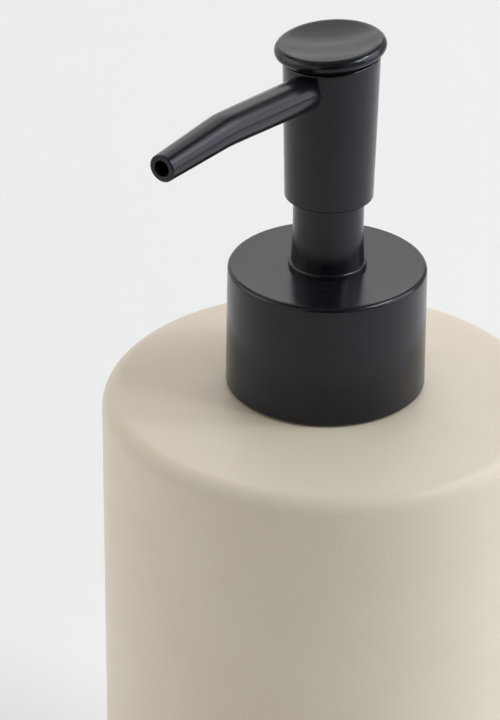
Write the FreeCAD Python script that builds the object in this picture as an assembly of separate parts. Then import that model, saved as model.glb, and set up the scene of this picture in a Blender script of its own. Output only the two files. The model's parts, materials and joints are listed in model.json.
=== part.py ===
"""Soap pump dispenser: a stoneware bottle with a screw-on lotion pump.

Millimetres, +Z up, origin on the pump's axis at the plane the bottle stands on.
The spout points forwards (-Y) and to the left (-X).
"""
import FreeCAD, Part
import math
import os

V = FreeCAD.Vector
AXIS_BASE = V(0, 0, 0)
UP = V(0, 0, 1)
PARTS_FOLDER = "parts"

# ---------------------------------------------------------------- driving dimensions

# bottle
BODY_RADIUS = 37.5
WALL = 4.0
FLOOR_THICKNESS = 4.0
FOOT_RECESS = 1.6
FOOT_OUTER_RADIUS = 34.4
FOOT_INNER_RADIUS = 30.2
FOOT_HEIGHT = 2.6
SHOULDER_ROUNDING = 3.3
TOP_Z = 115.1
TOP_FLAT_RADIUS = 18.0
SHOULDER_DROP = 1.8
MOUTH_RADIUS = 12.6
MOUTH_DEPTH = 6.5
INNER_ROUNDING = 6.0
FOOT_ROUNDING = 2.4
TOP_CROWN = 60.0

# neck insert, in the 28 mm size with one and a half turns of thread
SLEEVE_RADIUS = 12.0
BOND_FOOT_GAP = 1.2
BOND_TOP_GAP = 0.6
SLEEVE_DEPTH = 7.5
NECK_BORE = 10.4
NECK_RADIUS = 12.55
NECK_HEIGHT = 17.8
NECK_FLANGE_RADIUS = 13.7
NECK_FLANGE = 1.2
THREAD_DEPTH = 1.2
THREAD_PITCH = 4.233
THREAD_TURNS = 1.5
NECK_THREAD_FOOT = 4.5
NECK_RIDGE_BASE = 2.0
NECK_RIDGE_CREST = 1.1
LINER_RIDGE_BASE = 1.4
LINER_RIDGE_CREST = 0.7
RIDGE_ROOT = 0.3

# closure
CLOSURE_Z = 115.5
CLOSURE_HEIGHT = 21.4
CLOSURE_BASE_RADIUS = 16.7
CLOSURE_TOP_RADIUS = 16.5
CLOSURE_EDGE = 0.8
SHELL_BORE = 15.5
LINER_BORE = 14.05
LINER_FOOT_GAP = 1.4
LINER_ROOF = 1.0
ROOF_HOLE = 8.1
CHIMNEY_RADIUS = 5.83
CHIMNEY_FOOT_RADIUS = 6.12
CHIMNEY_FLARE = 5.2
CHIMNEY_BORE = 4.95
CHIMNEY_HEIGHT = 15.0
RING_RADIUS = 6.5
RING_HEIGHT = 0.95
RING_ROUNDING = 0.37
FLARE_ROUNDING = 20.0
GASKET_THICKNESS = 1.0
GASKET_RADIUS = 13.2

# pump cylinder
HOUSING_FLANGE_RADIUS = 13.0
HOUSING_FLANGE = 1.0
HOUSING_RADIUS = 7.4
HOUSING_BORE = 6.0
CHAMBER_FLOOR_Z = 84.0
TAIL_RADIUS = 4.2
TAIL_TOP_Z = 78.0
TAIL_END_Z = 68.0
BALL_CHAMBER_RADIUS = 3.4
BALL_CHAMBER_Z = 79.5
SEAT_TOP_RADIUS = 2.6
SEAT_HOLE_RADIUS = 1.5
SEAT_FOOT_Z = 77.8
DIP_STOP_Z = 76.5

# inlet valve
BALL_RADIUS = 2.38
BALL_SEAT_GAP = 0.02
CAGE_RADIUS = 5.95
CAGE_FLOOR = 1.2
CAGE_HEIGHT = 4.0
CAGE_WALL_BORE = 5.2
CAGE_PORTS = 4
CAGE_PORT_RADIUS = 0.9
CAGE_PORT_CIRCLE = 2.3

# dip tube
DIP_RADIUS = 3.0
DIP_BORE = 2.2
DIP_END_Z = 8.5
DIP_CUT_ANGLE = 35.0

# stem, seat and piston
STEM_RADIUS = 3.4
STEM_BORE = 2.2
STEM_FOOT_Z = 115.5
STEM_PORT_RADIUS = 0.9
STEM_PORT_HEIGHT = 2.8
SEAT_FLANGE_RADIUS = 5.0
SEAT_FLANGE = 2.0
SEAT_PLUG_HEIGHT = 1.6
SEAT_SPIGOT_RADIUS = 3.6
SEAT_SPIGOT = 2.0
PISTON_RADIUS = 5.95
PISTON_WAIST = 5.1
PISTON_HEIGHT = 7.0
PISTON_LIP = 1.5
PISTON_SLOPE = 0.6
PISTON_COLLAR = 3.0
PISTON_COLLAR_BORE = 3.45
PISTON_CHAMBER_BORE = 3.95

# return spring
SPRING_RADIUS = 4.3
SPRING_WIRE = 0.45
SPRING_TURNS = 8.0
SPRING_END_GAP = 0.02

# stem guide and wiper
GUIDE_PLUG_RADIUS = 5.98
GUIDE_PLUG_DEPTH = 9.9
GUIDE_FLANGE_RADIUS = 7.6
GUIDE_FLANGE = 0.7
GUIDE_TUBE_RADIUS = 4.6
GUIDE_TUBE_TOP = 14.6
GUIDE_BORE = 3.47
WIPER_RADIUS = 4.1
WIPER_BORE = 3.43
WIPER_HEIGHT = 1.1
WIPER_LIP = 0.35

# pump head
HEAD_FOOT_Z = 149.45
HEAD_FOOT_RADIUS = 7.28
HEAD_TOP_RADIUS = 7.85
HEAD_TOP_Z = 173.9
HEAD_TILT = 5.2
TILT_AZIMUTH = 74.0
TILT_PIVOT_Z = 172.9
SKIRT_BORE = 6.4
HEAD_BORE = 6.8
WEB_Z = 163.4
WEB = 1.4
CORE_RADIUS = 4.6
CORE_TOP_Z = 172.3
SOCKET_DEPTH = 4.4
RISER_RADIUS = 1.7

# button disc, measured from the seam with the head
DISC_RADIUS = 9.03
DISC_HEIGHT = 2.8
DISC_CONE_HEIGHT = 1.1
DISC_ROUNDING = 1.2
DISC_UNDER_ROUNDING = 0.8
DISC_LIP_RADIUS = 7.83
DISC_SEAM_RADIUS = 7.6
DISH_DEPTH = 1.15
DISC_PLUG_RADIUS = 6.5
DISC_PLUG_DEPTH = 1.0
SPOUT_NOTCH_GAP = 0.15

# spout
SPOUT_AZIMUTH = 33.6
SPOUT_AXIS_Z = 169.5
SPOUT_RISE = 4.2
SPOUT_DROOP = 2.6
SPOUT_KINK = 30.0
SPOUT_TIP = 15.5
SPOUT_BEND = 20.0
SPOUT_ROOT_RADIUS = 2.93
SPOUT_KINK_RADIUS = 2.77
SPOUT_TIP_RADIUS = 2.25
SPOUT_TIP_EDGE = 0.25
SPOUT_BORE = 1.7
BORE_DRAFT = 0.02
SPOUT_OUTLET = 1.3
OUTLET_DEPTH = 2.0
NIPPLE_RADIUS = 2.1
NIPPLE_END = 9.0
NIPPLE_BORE = 1.5

# ---------------------------------------------------------------- places that follow

MOUTH_FOOT_Z = TOP_Z - MOUTH_DEPTH
CLOSURE_TOP_Z = CLOSURE_Z + CLOSURE_HEIGHT
NECK_TOP_Z = TOP_Z + NECK_HEIGHT
GASKET_TOP_Z = NECK_TOP_Z + GASKET_THICKNESS
HOUSING_TOP_Z = GASKET_TOP_Z + HOUSING_FLANGE
LINER_TOP_Z = HOUSING_TOP_Z + LINER_ROOF
CHIMNEY_TOP_Z = CLOSURE_TOP_Z + CHIMNEY_HEIGHT
BALL_Z = (SEAT_FOOT_Z + BALL_SEAT_GAP
          - SEAT_HOLE_RADIUS * (BALL_CHAMBER_Z - SEAT_FOOT_Z) / (SEAT_TOP_RADIUS - SEAT_HOLE_RADIUS)
          + BALL_RADIUS / math.sin(math.atan2(SEAT_TOP_RADIUS - SEAT_HOLE_RADIUS,
                                              BALL_CHAMBER_Z - SEAT_FOOT_Z)))
CAGE_FLOOR_Z = CHAMBER_FLOOR_Z + CAGE_FLOOR
SPRING_FOOT_Z = CAGE_FLOOR_Z + SPRING_END_GAP
SPRING_TOP_Z = STEM_FOOT_Z - SEAT_FLANGE - SPRING_END_GAP
GUIDE_TUBE_TOP_Z = HOUSING_TOP_Z + GUIDE_TUBE_TOP
STEM_TOP_Z = WEB_Z + SOCKET_DEPTH
SPOUT_WAY = V(-math.sin(math.radians(SPOUT_AZIMUTH)), -math.cos(math.radians(SPOUT_AZIMUTH)), 0)
SPOUT_SIDE = UP.cross(SPOUT_WAY)
TILT_WAY = V(-math.sin(math.radians(TILT_AZIMUTH)), -math.cos(math.radians(TILT_AZIMUTH)), 0)
SPOUT_ORIGIN = V(0, 0, SPOUT_AXIS_Z)


# ---------------------------------------------------------------- helpers

def corner(before, here, after):
    """Tangent arc of the radius in here[2] at a corner, as (start, middle, end)."""
    point = V(here[0], 0, here[1])
    arm_in = (V(before[0], 0, before[1]) - point).normalize()
    arm_out = (V(after[0], 0, after[1]) - point).normalize()
    half = arm_in.getAngle(arm_out) / 2
    reach = here[2] / math.tan(half)
    bisector = (arm_in + arm_out).normalize()
    centre = point + bisector * (here[2] / math.sin(half))
    return point + arm_in * reach, centre - bisector * here[2], point + arm_out * reach


def outline(points):
    """Closed wire in the XZ plane. A point is (radius, z) or (radius, z, rounding)."""
    edges = []
    ends = []
    count = len(points)
    for index, here in enumerate(points):
        if len(here) == 2:
            place = V(here[0], 0, here[1])
            ends.append((place, place))
            continue
        start, middle, end = corner(points[index - 1], here, points[(index + 1) % count])
        edges.append(Part.Arc(start, middle, end).toShape())
        ends.append((start, end))
    for index in range(count):
        leave = ends[index][1]
        arrive = ends[(index + 1) % count][0]
        edges.append(Part.LineSegment(leave, arrive).toShape())
    return Part.Wire(Part.__sortEdges__(edges))


def turned(points):
    """Solid of revolution about the pump's axis."""
    return Part.Face(outline(points)).revolve(AXIS_BASE, UP, 360)


def ring(inner, outer, low, high):
    """Plain tube between two heights."""
    return turned([(inner, low), (outer, low), (outer, high), (inner, high)])


def rod(radius, start, end):
    """Cylinder from one point to another."""
    return Part.makeCylinder(radius, (end - start).Length, start, end - start)


def ridge(wall_radius, depth, base, crest, foot_z, outwards):
    """Helical thread ridge that stands on a wall, outwards or inwards."""
    way = 1 if outwards else -1
    root = wall_radius - way * RIDGE_ROOT
    tip = wall_radius + way * depth
    section = Part.makePolygon([
        V(root, 0, foot_z - base / 2),
        V(tip, 0, foot_z - crest / 2),
        V(tip, 0, foot_z + crest / 2),
        V(root, 0, foot_z + base / 2),
        V(root, 0, foot_z - base / 2),
    ])
    helix = Part.makeHelix(THREAD_PITCH, THREAD_PITCH * THREAD_TURNS, wall_radius)
    helix.translate(V(0, 0, foot_z))
    return Part.Wire(helix.Edges).makePipeShell([section], True, True)


def lean(shape):
    """Lift a shape drawn on the ground plane to the head's top, and tilt it to the spout's side."""
    shape.translate(V(0, 0, HEAD_TOP_Z))
    shape.rotate(V(0, 0, TILT_PIVOT_Z), UP.cross(TILT_WAY), HEAD_TILT)
    return shape


def heading(slope):
    """Unit vector towards the spout's side, rising by slope degrees."""
    angle = math.radians(slope)
    return SPOUT_WAY * math.cos(angle) + UP * math.sin(angle)


def spout_point(distance):
    """Point on the spout's centre line, measured from the head's axis."""
    kink = SPOUT_ORIGIN + heading(SPOUT_RISE) * SPOUT_KINK
    if distance < SPOUT_KINK:
        return SPOUT_ORIGIN + heading(SPOUT_RISE) * distance
    return kink + heading(-SPOUT_DROOP) * (distance - SPOUT_KINK)


def spout_form(root_radius, kink_radius, tip_radius, end):
    """Round solid along the spout: a straight run, a short bend, a straight run."""
    turn = SPOUT_RISE + SPOUT_DROOP
    reach = SPOUT_BEND * math.tan(math.radians(turn) / 2)
    root_way = heading(SPOUT_RISE)
    bend_start = spout_point(SPOUT_KINK - reach)
    bend_end = spout_point(SPOUT_KINK + reach)
    centre = bend_start - root_way.cross(SPOUT_SIDE) * SPOUT_BEND
    root_run = Part.makeCone(root_radius, kink_radius, SPOUT_KINK - reach, SPOUT_ORIGIN, root_way)
    section = Part.Face(Part.Wire(Part.makeCircle(kink_radius, bend_start, root_way)))
    bend = section.revolve(centre, SPOUT_SIDE, turn)
    tip_run = Part.makeCone(kink_radius, tip_radius, end - SPOUT_KINK - reach, bend_end,
                            heading(-SPOUT_DROOP))
    return root_run.fuse([bend, tip_run])


# ---------------------------------------------------------------- bottle

def bottle_body():
    """Slip-cast stoneware: foot ring, straight wall, rounded shoulder, open mouth."""
    side_top = TOP_Z - SHOULDER_DROP
    ceiling = side_top - WALL
    floor = FOOT_RECESS + FLOOR_THICKNESS
    inner = BODY_RADIUS - WALL
    return turned([
        (0, FOOT_RECESS),
        (FOOT_INNER_RADIUS - FOOT_RECESS, FOOT_RECESS, 0.8),
        (FOOT_INNER_RADIUS, 0, 0.6),
        (FOOT_OUTER_RADIUS, 0, 0.8),
        (BODY_RADIUS, FOOT_HEIGHT, FOOT_ROUNDING),
        (BODY_RADIUS, side_top, SHOULDER_ROUNDING),
        (TOP_FLAT_RADIUS, TOP_Z, TOP_CROWN),
        (MOUTH_RADIUS, TOP_Z, 0.4),
        (MOUTH_RADIUS, MOUTH_FOOT_Z, 1.0),
        (MOUTH_RADIUS + WALL, MOUTH_FOOT_Z, 1.5),
        (MOUTH_RADIUS + 2 * WALL, ceiling, 3.0),
        (inner, ceiling, INNER_ROUNDING),
        (inner, floor, INNER_ROUNDING),
        (0, floor),
    ])


def neck_insert():
    """Plastic collar bonded in the mouth, with the thread for the closure."""
    flange_top = TOP_Z + NECK_FLANGE
    collar = turned([
        (NECK_BORE, TOP_Z - SLEEVE_DEPTH, 0.3),
        (SLEEVE_RADIUS, TOP_Z - SLEEVE_DEPTH, 0.5),
        (SLEEVE_RADIUS, TOP_Z),
        (NECK_FLANGE_RADIUS, TOP_Z),
        (NECK_FLANGE_RADIUS, flange_top, 0.3),
        (NECK_RADIUS, flange_top),
        (NECK_RADIUS, NECK_TOP_Z, 0.4),
        (NECK_BORE, NECK_TOP_Z, 0.3),
    ])
    thread = ridge(NECK_RADIUS, THREAD_DEPTH, NECK_RIDGE_BASE, NECK_RIDGE_CREST,
                   TOP_Z + NECK_THREAD_FOOT, True)
    return collar.fuse(thread)


def neck_seal():
    """Bond ring that fills the gap between the sleeve and the mouth."""
    return ring(SLEEVE_RADIUS, MOUTH_RADIUS, MOUTH_FOOT_Z + BOND_FOOT_GAP, TOP_Z - BOND_TOP_GAP)


# ---------------------------------------------------------------- closure

def closure_shell():
    """Smooth outer collar with the chimney that the head slides over."""
    ring_top = CLOSURE_TOP_Z + RING_HEIGHT
    return turned([
        (SHELL_BORE, CLOSURE_Z, 0.2),
        (CLOSURE_BASE_RADIUS, CLOSURE_Z, 0.25),
        (CLOSURE_TOP_RADIUS, CLOSURE_TOP_Z, CLOSURE_EDGE),
        (RING_RADIUS, CLOSURE_TOP_Z),
        (RING_RADIUS, ring_top, RING_ROUNDING),
        (CHIMNEY_FOOT_RADIUS, ring_top),
        (CHIMNEY_RADIUS, ring_top + CHIMNEY_FLARE, FLARE_ROUNDING),
        (CHIMNEY_RADIUS, CHIMNEY_TOP_Z, 0.35),
        (CHIMNEY_BORE, CHIMNEY_TOP_Z, 0.25),
        (CHIMNEY_BORE, LINER_TOP_Z, 0.3),
        (SHELL_BORE, LINER_TOP_Z, 0.5),
    ])


def closure_liner():
    """Threaded cap pressed into the collar; its roof holds the pump's flange."""
    cap = turned([
        (LINER_BORE, CLOSURE_Z + LINER_FOOT_GAP, 0.3),
        (SHELL_BORE, CLOSURE_Z + LINER_FOOT_GAP, 0.3),
        (SHELL_BORE, LINER_TOP_Z, 0.6),
        (ROOF_HOLE, LINER_TOP_Z),
        (ROOF_HOLE, HOUSING_TOP_Z),
        (LINER_BORE, HOUSING_TOP_Z, 0.3),
    ])
    thread = ridge(LINER_BORE, THREAD_DEPTH, LINER_RIDGE_BASE, LINER_RIDGE_CREST,
                   TOP_Z + NECK_THREAD_FOOT - THREAD_PITCH / 2, False)
    return cap.fuse(thread)


def closure_gasket():
    """Flat washer between the pump's flange and the rim of the neck."""
    return ring(HOUSING_RADIUS, GASKET_RADIUS, NECK_TOP_Z, GASKET_TOP_Z)


# ---------------------------------------------------------------- pump cylinder

def pump_housing():
    """Cylinder with its flange on the neck and a tail for the dip tube."""
    return turned([
        (HOUSING_BORE, HOUSING_TOP_Z, 0.2),
        (HOUSING_BORE, CHAMBER_FLOOR_Z),
        (BALL_CHAMBER_RADIUS, CHAMBER_FLOOR_Z),
        (BALL_CHAMBER_RADIUS, BALL_CHAMBER_Z),
        (SEAT_TOP_RADIUS, BALL_CHAMBER_Z),
        (SEAT_HOLE_RADIUS, SEAT_FOOT_Z),
        (SEAT_HOLE_RADIUS, DIP_STOP_Z),
        (DIP_RADIUS, DIP_STOP_Z),
        (DIP_RADIUS, TAIL_END_Z, 0.3),
        (TAIL_RADIUS, TAIL_END_Z, 0.4),
        (TAIL_RADIUS, TAIL_TOP_Z, 1.0),
        (HOUSING_RADIUS, TAIL_TOP_Z + WALL, 1.5),
        (HOUSING_RADIUS, GASKET_TOP_Z),
        (HOUSING_FLANGE_RADIUS, GASKET_TOP_Z, 0.2),
        (HOUSING_FLANGE_RADIUS, HOUSING_TOP_Z, 0.3),
    ])


def stem_guide():
    """Plug in the top of the cylinder; its tube guides the stem inside the chimney."""
    plug_foot = HOUSING_TOP_Z - GUIDE_PLUG_DEPTH
    flange_top = HOUSING_TOP_Z + GUIDE_FLANGE
    pocket = GUIDE_TUBE_TOP_Z - WIPER_HEIGHT
    return turned([
        (GUIDE_BORE, plug_foot, 0.3),
        (GUIDE_PLUG_RADIUS, plug_foot, 0.4),
        (GUIDE_PLUG_RADIUS, HOUSING_TOP_Z),
        (GUIDE_FLANGE_RADIUS, HOUSING_TOP_Z, 0.2),
        (GUIDE_FLANGE_RADIUS, flange_top, 0.2),
        (GUIDE_TUBE_RADIUS, flange_top),
        (GUIDE_TUBE_RADIUS, GUIDE_TUBE_TOP_Z, 0.2),
        (WIPER_RADIUS, GUIDE_TUBE_TOP_Z),
        (WIPER_RADIUS, pocket),
        (GUIDE_BORE, pocket),
    ])


def stem_wiper():
    """Soft ring in the guide's top that wipes the stem."""
    low = GUIDE_TUBE_TOP_Z - WIPER_HEIGHT
    high = GUIDE_TUBE_TOP_Z
    slack = WIPER_BORE + WIPER_LIP
    return turned([
        (WIPER_BORE, (low + high) / 2),
        (slack, low),
        (WIPER_RADIUS, low),
        (WIPER_RADIUS, high),
        (slack, high),
    ])


def ball_cage():
    """Cup over the inlet ball: ports let soap pass, and the spring stands on it."""
    cup = turned([
        (0, CHAMBER_FLOOR_Z),
        (CAGE_RADIUS, CHAMBER_FLOOR_Z, 0.3),
        (CAGE_RADIUS, CHAMBER_FLOOR_Z + CAGE_HEIGHT, 0.2),
        (CAGE_WALL_BORE, CHAMBER_FLOOR_Z + CAGE_HEIGHT, 0.2),
        (CAGE_WALL_BORE, CAGE_FLOOR_Z),
        (0, CAGE_FLOOR_Z),
    ])
    for index in range(CAGE_PORTS):
        turn = 2 * math.pi * index / CAGE_PORTS
        place = V(CAGE_PORT_CIRCLE * math.cos(turn), CAGE_PORT_CIRCLE * math.sin(turn), CHAMBER_FLOOR_Z)
        cup = cup.cut(rod(CAGE_PORT_RADIUS, place - UP, place + UP * (CAGE_FLOOR + 1)))
    return cup


def inlet_ball():
    """Steel ball of the inlet valve, just clear of its cone."""
    return Part.makeSphere(BALL_RADIUS, V(0, 0, BALL_Z))


def dip_tube():
    """Straight tube to the bottle's floor, cut at a slant so it can't seal there."""
    tube = ring(DIP_BORE, DIP_RADIUS, DIP_END_Z, DIP_STOP_Z)
    rise = 2 * DIP_RADIUS * math.tan(math.radians(DIP_CUT_ANGLE))
    wedge = Part.Face(Part.makePolygon([
        V(-DIP_RADIUS - 1, -DIP_RADIUS - 1, DIP_END_Z - 1),
        V(DIP_RADIUS, -DIP_RADIUS - 1, DIP_END_Z - 1),
        V(DIP_RADIUS, -DIP_RADIUS - 1, DIP_END_Z),
        V(-DIP_RADIUS, -DIP_RADIUS - 1, DIP_END_Z + rise),
        V(-DIP_RADIUS - 1, -DIP_RADIUS - 1, DIP_END_Z + rise),
        V(-DIP_RADIUS - 1, -DIP_RADIUS - 1, DIP_END_Z - 1),
    ]))
    return tube.cut(wedge.extrude(V(0, 2 * DIP_RADIUS + 2, 0)))


# ---------------------------------------------------------------- stem and piston

def stem():
    """Hollow stem from the piston to the head, with cross ports near its foot."""
    tube = turned([
        (STEM_BORE, STEM_FOOT_Z),
        (STEM_RADIUS, STEM_FOOT_Z),
        (STEM_RADIUS, STEM_TOP_Z, 0.3),
        (STEM_BORE, STEM_TOP_Z, 0.2),
    ])
    port_z = STEM_FOOT_Z + STEM_PORT_HEIGHT
    for way in (V(1, 0, 0), V(0, 1, 0)):
        middle = V(0, 0, port_z)
        tube = tube.cut(rod(STEM_PORT_RADIUS, middle - way * HOUSING_BORE, middle + way * HOUSING_BORE))
    return tube


def piston_seat():
    """Foot of the stem: a plug, the seat that the piston closes on, a spring spigot."""
    seat_foot = STEM_FOOT_Z - SEAT_FLANGE
    return turned([
        (0, seat_foot - SEAT_SPIGOT),
        (SEAT_SPIGOT_RADIUS, seat_foot - SEAT_SPIGOT, 0.5),
        (SEAT_SPIGOT_RADIUS, seat_foot),
        (SEAT_FLANGE_RADIUS, seat_foot, 0.3),
        (SEAT_FLANGE_RADIUS, STEM_FOOT_Z, 0.3),
        (STEM_BORE, STEM_FOOT_Z),
        (STEM_BORE, STEM_FOOT_Z + SEAT_PLUG_HEIGHT, 0.3),
        (0, STEM_FOOT_Z + SEAT_PLUG_HEIGHT),
    ])


def piston():
    """Double-lipped sleeve that slips a little on the stem to open the outlet."""
    foot = STEM_FOOT_Z
    top = STEM_FOOT_Z + PISTON_HEIGHT
    collar = top - PISTON_COLLAR
    return turned([
        (PISTON_CHAMBER_BORE, foot),
        (PISTON_RADIUS, foot, 0.2),
        (PISTON_RADIUS, foot + PISTON_LIP, 0.3),
        (PISTON_WAIST, foot + PISTON_LIP + PISTON_SLOPE, 0.4),
        (PISTON_WAIST, top - PISTON_LIP - PISTON_SLOPE, 0.4),
        (PISTON_RADIUS, top - PISTON_LIP, 0.3),
        (PISTON_RADIUS, top, 0.2),
        (PISTON_COLLAR_BORE, top, 0.2),
        (PISTON_COLLAR_BORE, collar),
        (PISTON_CHAMBER_BORE, collar),
    ])


def return_spring():
    """Coil spring between the cage and the seat, its wire sunk to the end planes."""
    rise = SPRING_TOP_Z - SPRING_FOOT_Z - 2 * SPRING_WIRE
    helix = Part.makeHelix(rise / SPRING_TURNS, rise, SPRING_RADIUS)
    helix.translate(V(0, 0, SPRING_FOOT_Z + SPRING_WIRE))
    start = V(SPRING_RADIUS, 0, SPRING_FOOT_Z + SPRING_WIRE)
    section = Part.Wire(Part.makeCircle(SPRING_WIRE, start, V(0, 1, 0)))
    return Part.Wire(helix.Edges).makePipeShell([section], True, True)


# ---------------------------------------------------------------- head

def spout_solid():
    """Outside of the spout with no bore, from the head's axis to the tip."""
    length = SPOUT_KINK + SPOUT_TIP
    tip = spout_point(length)
    body = spout_form(SPOUT_ROOT_RADIUS, SPOUT_KINK_RADIUS, SPOUT_TIP_RADIUS, length)
    outlet_edge = [edge for edge in body.Edges if edge.BoundBox.Center.distanceToPoint(tip) < SPOUT_TIP_EDGE]
    return body.makeFillet(SPOUT_TIP_EDGE, outlet_edge)


def spout_tube():
    """Tapered tube with a slight kink, pushed over the core's nipple."""
    length = SPOUT_KINK + SPOUT_TIP
    bore = spout_form(SPOUT_BORE, SPOUT_BORE + BORE_DRAFT, SPOUT_BORE, length - OUTLET_DEPTH)
    outlet = rod(SPOUT_OUTLET, spout_point(length - 2 * OUTLET_DEPTH), spout_point(length + 1))
    nipple = rod(NIPPLE_RADIUS, SPOUT_ORIGIN, spout_point(NIPPLE_END))
    core = Part.makeCylinder(CORE_RADIUS, HEAD_TOP_Z, AXIS_BASE, UP)
    return spout_solid().cut(bore).cut(outlet).cut(nipple).cut(core)


def head_shell():
    """Barrel of the head: open skirt below, tilted top, hole for the spout."""
    over = HEAD_TOP_Z + DISC_RADIUS
    growth = (HEAD_TOP_RADIUS - HEAD_FOOT_RADIUS) / (HEAD_TOP_Z - HEAD_FOOT_Z)
    barrel = turned([
        (SKIRT_BORE, HEAD_FOOT_Z, 0.25),
        (HEAD_FOOT_RADIUS, HEAD_FOOT_Z, 0.3),
        (HEAD_FOOT_RADIUS + growth * (over - HEAD_FOOT_Z), over),
        (HEAD_BORE, over),
        (HEAD_BORE, WEB_Z),
        (SKIRT_BORE, WEB_Z),
    ])
    lid = lean(Part.makeCylinder(2 * DISC_RADIUS, 2 * DISC_RADIUS))
    return barrel.cut(lid).cut(spout_solid())


def head_core():
    """Elbow moulding: web, socket for the stem, riser and nipple for the spout."""
    root_way = heading(SPOUT_RISE)
    block = turned([
        (0, WEB_Z),
        (HEAD_BORE, WEB_Z),
        (HEAD_BORE, WEB_Z + WEB, 0.3),
        (CORE_RADIUS, WEB_Z + WEB),
        (CORE_RADIUS, CORE_TOP_Z, 0.4),
        (0, CORE_TOP_Z),
    ])
    block = block.fuse(rod(NIPPLE_RADIUS, SPOUT_ORIGIN, SPOUT_ORIGIN + root_way * NIPPLE_END))
    block = block.cut(rod(STEM_RADIUS, V(0, 0, WEB_Z - 1), V(0, 0, STEM_TOP_Z)))
    block = block.cut(rod(RISER_RADIUS, V(0, 0, WEB_Z), SPOUT_ORIGIN))
    return block.cut(rod(NIPPLE_BORE, SPOUT_ORIGIN, SPOUT_ORIGIN + root_way * (NIPPLE_END + 1)))


def button_disc():
    """Dished disc with a rounded rim over a conical underside, plugged into the head's tilted top."""
    dish_radius = (DISC_LIP_RADIUS ** 2 + DISH_DEPTH ** 2) / (2 * DISH_DEPTH)
    slab = turned([
        (0, -DISC_PLUG_DEPTH),
        (DISC_PLUG_RADIUS, -DISC_PLUG_DEPTH, 0.2),
        (DISC_PLUG_RADIUS, 0),
        (DISC_SEAM_RADIUS, 0, 0.1),
        (DISC_RADIUS, DISC_CONE_HEIGHT, DISC_UNDER_ROUNDING),
        (DISC_RADIUS, DISC_HEIGHT, DISC_ROUNDING),
        (0, DISC_HEIGHT),
    ])
    dish = Part.makeSphere(dish_radius, V(0, 0, DISC_HEIGHT + dish_radius - DISH_DEPTH))
    disc = lean(slab.cut(dish))
    root_way = heading(SPOUT_RISE)
    notch = rod(SPOUT_ROOT_RADIUS + SPOUT_NOTCH_GAP, SPOUT_ORIGIN, SPOUT_ORIGIN + root_way * DISC_RADIUS)
    return disc.cut(notch)


PIECES = [
    bottle_body, neck_insert, neck_seal,
    closure_shell, closure_liner, closure_gasket,
    pump_housing, stem_guide, stem_wiper, ball_cage, inlet_ball, dip_tube,
    stem, piston_seat, piston, return_spring,
    head_shell, head_core, button_disc, spout_tube,
]

os.makedirs(PARTS_FOLDER, exist_ok=True)
for make in PIECES:
    solid = make()
    if solid.Volume < 0:
        solid = solid.reversed()
    print(make.__name__, "valid", solid.isValid(), "solids", len(solid.Solids),
          "volume mm3", round(solid.Volume, 1))
    solid.exportStep(os.path.join(PARTS_FOLDER, make.__name__ + ".step"))
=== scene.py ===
# %% [markdown]
# # A soap pump dispenser
# The object is a stoneware bottle with a screw-on lotion pump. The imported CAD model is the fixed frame:
# it says where every piece is and how it moves. This lesson dresses that frame: it builds finer meshes for
# the pieces that are seen, and gives each piece a finish made only from nodes.

# %% Load the frame
import json
import math

import bmesh
import bpy
from mathutils import Matrix, Vector


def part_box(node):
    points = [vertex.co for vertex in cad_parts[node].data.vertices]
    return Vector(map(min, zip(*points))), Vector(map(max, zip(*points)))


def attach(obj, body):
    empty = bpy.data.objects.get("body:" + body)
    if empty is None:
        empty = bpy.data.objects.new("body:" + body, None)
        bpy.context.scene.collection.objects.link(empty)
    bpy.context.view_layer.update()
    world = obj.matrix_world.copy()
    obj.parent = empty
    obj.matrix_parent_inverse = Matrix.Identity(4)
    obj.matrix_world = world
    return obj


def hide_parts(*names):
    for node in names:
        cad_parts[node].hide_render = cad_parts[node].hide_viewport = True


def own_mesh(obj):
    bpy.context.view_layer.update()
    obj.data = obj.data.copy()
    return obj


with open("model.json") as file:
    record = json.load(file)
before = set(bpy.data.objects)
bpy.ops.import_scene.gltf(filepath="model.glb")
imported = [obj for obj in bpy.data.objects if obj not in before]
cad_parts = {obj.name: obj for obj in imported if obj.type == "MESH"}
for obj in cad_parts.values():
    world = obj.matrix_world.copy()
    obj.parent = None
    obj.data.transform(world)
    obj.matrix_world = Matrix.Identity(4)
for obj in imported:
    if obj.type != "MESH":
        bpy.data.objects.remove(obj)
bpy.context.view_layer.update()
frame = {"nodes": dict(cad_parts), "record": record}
NODES = frame["nodes"]

# %% [markdown]
# ## Sizes that the frame gives
# A bottle like this is turned about one axis, so most of its sizes are a height and a radius. They are read
# from the frame's boxes, so a change in the CAD model carries through to the looks.

# %% Heights and radii from the frame
MM = 0.001


def low(node):
    """Lowest height of a CAD node."""
    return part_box(node)[0].z


def high(node):
    """Highest point of a CAD node."""
    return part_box(node)[1].z


def radius(node):
    """Largest radius of a node that is round about the pump's axis."""
    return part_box(node)[1].x


BOTTLE_R = radius("bottle_body")
BOTTLE_TOP = high("bottle_body")
CLOSURE_LOW = low("closure_shell")
CLOSURE_R = radius("closure_shell")
CHIMNEY_TOP = high("closure_shell")
HEAD_LOW = low("head_shell")
print("bottle", round(BOTTLE_R / MM, 2), "closure", round(CLOSURE_R / MM, 2))

# %% [markdown]
# ## Turned shapes
# A potter's wheel and a lathe make the same thing: one outline carried round an axis. The outline here is a
# short list of corners. A corner may carry a rounding, and then a tangent arc is laid into it, because no
# moulded or glazed edge is perfectly sharp. The arcs are what catch the light.

# %% Outline with rounded corners


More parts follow.
